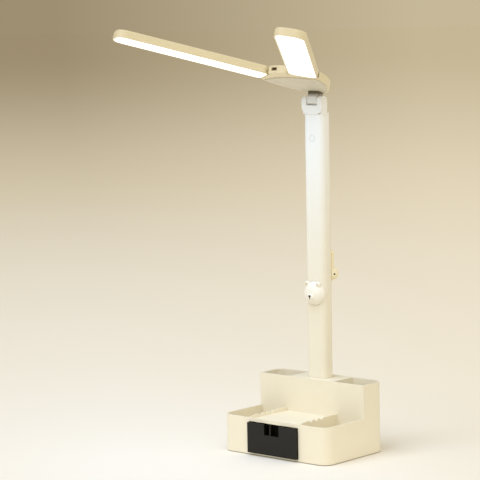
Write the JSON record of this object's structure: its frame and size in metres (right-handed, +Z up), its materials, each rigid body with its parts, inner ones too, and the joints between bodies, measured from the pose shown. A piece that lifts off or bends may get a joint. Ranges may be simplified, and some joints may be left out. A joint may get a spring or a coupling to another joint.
{
  "type": "desk lamp with drawer base",
  "caption": "Desk lamp: twin folding light panels on a tilting hub, a slim column with bear ornaments, and an organiser base with pen wells, trays and a sliding drawer.",
  "frame": {"origin": "centre of the base's flat underside, inside the rubber feet, which reach 1 mm lower", "axes": "+Z up along the column, -Y to the drawer front, +X to the right of someone facing the drawer"},
  "size_m": [0.3168, 0.2608, 0.5682],
  "materials": {
    "shell": "satin moulded",
    "warm_shell": "satin moulded, warmer on the panel rims",
    "smoke": "smoked, slightly see-through, smooth",
    "grey_cover": "fine matt",
    "diffuser": "frosted, lit from within",
    "rubber": "matt",
    "steel": "plain",
    "plated_steel": "plated",
    "socket_metal": "drawn",
    "bracket": "die-cast, dark",
    "nylon": "natural",
    "black_plastic": "matt",
    "cell_wrap": "shrink-wrapped",
    "board": "solder mask",
    "led": "clear over phosphor",
    "cable": "smooth",
    "bear": "soft vinyl",
    "cub": "soft vinyl",
    "bear_black": "glossy"
  },
  "bodies": {
    "base": {"base_housing": "shell", "bottom_cover": "grey_cover", "rubber_feet": "rubber", "bottom_cover_screws": "plated_steel", "ballast_plate": "steel", "battery_holder": "black_plastic", "battery_cell": "cell_wrap", "control_board": "board", "charging_socket": "socket_metal", "root_bracket": "bracket", "root_bracket_screws": "plated_steel", "column_front_shell": "shell", "column_back_shell": "shell", "column_screws": "plated_steel", "column_core": "steel", "wire_harness": "cable", "touch_board": "board", "touch_pad": "plated_steel", "neck_fork": "shell", "tilt_pin": "steel", "tilt_washers": "nylon", "tilt_pin_caps": "shell", "bear_ornament": "bear", "bear_nose": "bear_black", "cub_ornament": "cub", "cub_nose": "bear_black"},
    "drawer": {"drawer": "smoke"},
    "head": {"hub_tongue": "shell", "tongue_screws": "plated_steel", "hub_lower_cover": "grey_cover", "hub_upper_cover": "shell", "hub_screws": "plated_steel", "hub_board": "board", "left_hinge_pin": "steel", "right_hinge_pin": "steel"},
    "left_panel": {"left_panel_cover": "warm_shell", "left_panel_diffuser": "diffuser", "left_led_board": "board", "left_leds": "led"},
    "right_panel": {"right_panel_cover": "warm_shell", "right_panel_diffuser": "diffuser", "right_led_board": "board", "right_leds": "led"}
  },
  "joints": [
    {"name": "drawer_slide", "type": "slide", "parent": "base", "child": "drawer", "axis": [0, -1, 0], "range_m": [0, 0.07]},
    {"name": "head_tilt", "type": "hinge", "parent": "base", "child": "head", "pos_m": [0, 0.0337, 0.468], "axis": [1, 0, 0], "range_deg": [0, 105]},
    {"name": "left_fold", "type": "hinge", "parent": "head", "child": "left_panel", "pos_m": [-0.03229, -0.02634, 0.50772], "axis": [-0.8339, 0.5246, -0.1715], "range_deg": [0, 90]},
    {"name": "right_fold", "type": "hinge", "parent": "head", "child": "right_panel", "pos_m": [0.03229, -0.02634, 0.50772], "axis": [-0.8339, -0.5246, 0.1715], "range_deg": [0, 90]}
  ]
}
